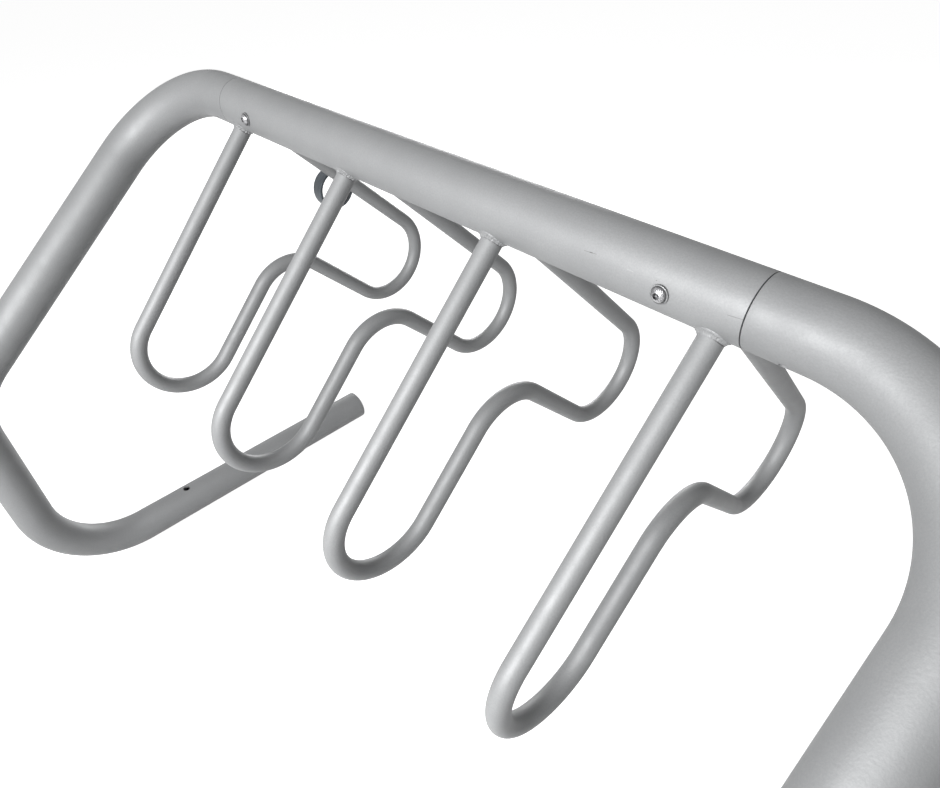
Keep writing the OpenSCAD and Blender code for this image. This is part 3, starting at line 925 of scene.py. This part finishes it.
def set_screw(side, name):
    """A screw on the left (side -1) or the right (side 1). A point lies at radius times spoke
    plus height times the way out of the beam."""
    seat = np.array([side * SCREW_X, BEAM_Y - FRAME_R - WASHER_THICK, BEAM_Z])
    rings = [seat + r[:, None] * spokes + np.multiply.outer(z * np.ones(len(r)), out_of_beam)
             for r, z, g in screw_rings]
    shell = poled(np.stack(rings), seat + (0, SHANK_LEN, 0), seat - (0, pin_z, 0))
    screw = make_piece(f"button_screw_{name}", [shell], screw_steel,
                       replaced=(f"screw_{name}",))
    # painted shade on the lower side of the dome's skirt, added to each ring's painted shade
    underside = np.clip(-spokes[:, 2], 0, 1)
    painted_shade = [g + 0.75 * underside * np.clip((r / HEAD_R - SKIRT_FROM) / SKIRT_WIDE, 0, 1)
             for r, z, g in screw_rings]
    stain(screw, np.clip(np.concatenate([*painted_shade, [1, 0.2]]), 0, 1))


def set_washer(side, name, edge=0.00028):
    """The washer under that screw: a rectangle with rounded corners, spun about the screw."""
    outline = [(WASHER_BORE_R, 0), (WASHER_R, 0), (WASHER_R, WASHER_THICK), (WASHER_BORE_R, WASHER_THICK)]
    face = rounded(outline, edge)
    ring = turned(face, (side * SCREW_X, BEAM_Y - FRAME_R, BEAM_Z), (1, 0, 0), (0, 0, 1), out_of_beam)
    washer = make_piece(f"washer_ring_{name}", [looped(ring)], washer_steel,
                        replaced=(f"washer_{name}",))
    radius, height = face.T
    # painted shade: a contact shadow up the edge that touches the beam, a shadow ring round the screw's
    # head, and a darker lower half of the rim
    near_beam = np.clip(1 - height / PAINTED_SHADE_HIGH, 0, 1)
    under_head = np.clip((PAINTED_SHADE_OUT - radius) / PAINTED_SHADE_FADE, 0, 1) * (height > WASHER_THICK / 2)
    hollows = np.maximum(near_beam, under_head)[:, None]
    low = np.clip(-np.sin(np.linspace(0, 2 * np.pi, ring.shape[1], endpoint=False)), 0, 1)
    low_rim = 0.7 * (radius > RIM_FROM)[:, None] * low
    stain(washer, np.maximum(hollows, low_rim).ravel())


for side, name in ((-1, "left"), (1, "right")):
    set_screw(side, name)
    set_washer(side, name)

# %% [markdown]
# ## The foot caps
#
# A pressed cap closes the open end of each foot. Only its flange shows: a flat disc as wide as
# the tube, with a rounded rim.

# %% Foot caps
plug_r = FRAME_R - FRAME_WALL - CAP_CLEAR
bore_r = plug_r - CAP_WALL
rim = 0.001
cap_rows = [(share * (FRAME_R - rim), CAP_THICK) for share in (0.3, 0.6, 0.85)]
cap_rows += [(FRAME_R - rim + rim * math.sin(a), CAP_THICK - rim + rim * math.cos(a))
             for a in np.linspace(0, quarter_turn, 7)]
cap_rows += [(FRAME_R, 0.0003), (FRAME_R - 0.0003, 0),
             (plug_r, 0), (plug_r, -CAP_PLUG + 0.0004), (plug_r - 0.0004, -CAP_PLUG),
             (bore_r + 0.0003, -CAP_PLUG), (bore_r, -CAP_PLUG + 0.0003), (bore_r, 0),
             (0.5 * plug_r, 0)]
for side, name in ((-1, "left"), (1, "right")):
    end = np.array([side * LEG_PLANE, BEAM_Y + FOOT_BACK, FRAME_R])
    disc = turned(cap_rows, end, (1, 0, 0), (0, 0, 1), (0, 1, 0))
    make_piece(f"foot_cap_disc_{name}", [poled(disc, end + (0, CAP_THICK, 0), end)], cap_coat,
               replaced=(f"foot_cap_{name}",))

# %% [markdown]
# ## The lock ring
#
# A short slice of frame tube sits against the outer side of the first hanger's rear arm, for a lock or a
# cable. It is darker than the rest, a dull blue grey. It is paler in streaks along the middle of its
# outside, and its bore is darkened nearly to black by painted shade. Both are stored on the mesh.

# %% Paint of the lock ring
# the last of these colours is painted shade, which darkens the whole bore
RING_BLUE, RING_PALE, RING_BORE_SHADE = (0.050, 0.058, 0.066), (0.17, 0.20, 0.23), (0.012, 0.012, 0.013)


def ring_finish(name):
    """Dull blue-grey paint, paler in streaks along the middle of the ring's outside."""
    paint = bpy.data.materials.new(name)
    paint.use_nodes = True
    tree = paint.node_tree
    shader = tree.nodes["Principled BSDF"]
    where = tree.nodes.new("ShaderNodeTexCoord").outputs["Object"]
    stretch = tree.nodes.new("ShaderNodeMapping")
    stretch.inputs["Scale"].default_value = (1.0, 0.25, 0.25)
    links(tree, (where, stretch.inputs["Vector"]))
    streaks = ramp(tree, noise(tree, stretch.outputs[0], 420, 4, 0.6), 0.35, 1, 0.42, 0.72)
    paler = tree.nodes.new("ShaderNodeMath")
    paler.operation = "MULTIPLY"
    links(tree, (streaks, paler.inputs[0]), (stored(tree, "pale_middle"), paler.inputs[1]))
    paler = paler.outputs[0]
    colour = mix_colour(tree, paler, RING_BLUE, RING_PALE)
    # painted shade in the bore, where the number stored on the mesh says so
    colour = mix_colour(tree, stored(tree, "painted_shade"), colour, RING_BORE_SHADE)
    links(tree, (colour, shader.inputs["Base Color"]),
          (ramp(tree, paler, 0.5, 0.36, 0, 1), shader.inputs["Roughness"]))
    shader.inputs["Metallic"].default_value = FLAKE
    bumpy(tree, noise(tree, where, 800, 2, 0.5), 0.2, 0.0003)
    return paint


ring_paint = ring_finish("ring_paint")
print("paint:", ring_paint.name)

# %% [markdown]
# The ring's axis runs along the beam, and one of its ends lies against the outer side of the arm.
# Its centre is set in from the arm's centre line by the difference of their radii, so the two
# skins are flush at the rear.

# %% Lock ring
down_rear = np.array([0, math.cos(HANGER_SLOPE), -math.sin(HANGER_SLOPE)])
off_rear = np.array([0, math.sin(HANGER_SLOPE), math.cos(HANGER_SLOPE)])
sunk = FRAME_R - HANGER_R           # from the arm's centre line to the ring's
ring_middle = (arms_meet + np.array([HANGER_AT[0] - HANGER_R - RING_WIDTH / 2, 0, 0])
               + RING_ALONG * down_rear - sunk * off_rear)
half = RING_WIDTH / 2
inner_r = FRAME_R - FRAME_WALL
ring_sides, ring_edge = 128, 0.0007
ring_face = rounded([(inner_r, -half), (FRAME_R, -half), (FRAME_R, half), (inner_r, half)], ring_edge)
ring_grid = turned(ring_face, ring_middle, down_rear, off_rear, (1, 0, 0), ring_sides)
ring = make_piece("lock_ring_band", [looped(ring_grid)], ring_paint,
                  replaced=("lock_ring",))
in_bore = ring_face[:, 0] < inner_r + 0.0002
off_middle = np.abs(ring_face[:, 1]) / half
# painted shade: the whole bore is marked to be darkened
stain(ring, np.repeat(in_bore * 1.0, ring_sides))
stain(ring, np.repeat(np.clip(1.25 - off_middle, 0, 1) * ~in_bore, ring_sides), "pale_middle")

# %% [markdown]
# The ring is held by two short dabs of weld, where the arm runs over its end. A dab is a ball
# stretched along three directions, with a few ripples.

# %% Welds of the lock ring
def dab(centre, sizes, seed, rows=24, columns=32):
    """A small lump of weld: a ball stretched along three directions, with ripples on its skin."""
    rise = np.linspace(0, np.pi, rows + 2)[1:-1, None]
    turn = np.linspace(0, 2 * np.pi, columns, endpoint=False)[None, :]
    swell = 1 + 0.05 * np.sin(9 * rise + seed) + 0.03 * np.cos(3 * turn + seed)
    parts = (np.sin(rise) * np.cos(turn) * swell, np.sin(rise) * np.sin(turn) * swell,
             np.cos(rise) * swell * np.ones_like(turn))
    ways = (np.array([1, 0, 0]), off_rear, down_rear)
    grid = centre + sum(p[..., None] * size * way for p, size, way in zip(parts, sizes, ways))
    return poled(grid, centre + sizes[2] * down_rear, centre - sizes[2] * down_rear)


DAB_SIZES = (0.0036, 0.0038, 0.0034)
touch = [math.sqrt(r**2 - sunk**2) for r in (inner_r, FRAME_R)]
dabs = []
for side in (-1, 1):
    dab_centre = ring_middle + np.array([half, 0, 0]) + side * sum(touch) / 2 * down_rear + sunk * off_rear
    dabs.append(dab(dab_centre, DAB_SIZES, 3 + side))
make_piece("ring_weld_dabs", dabs, weld_coat, replaced=("ring_weld",), sharp=60)
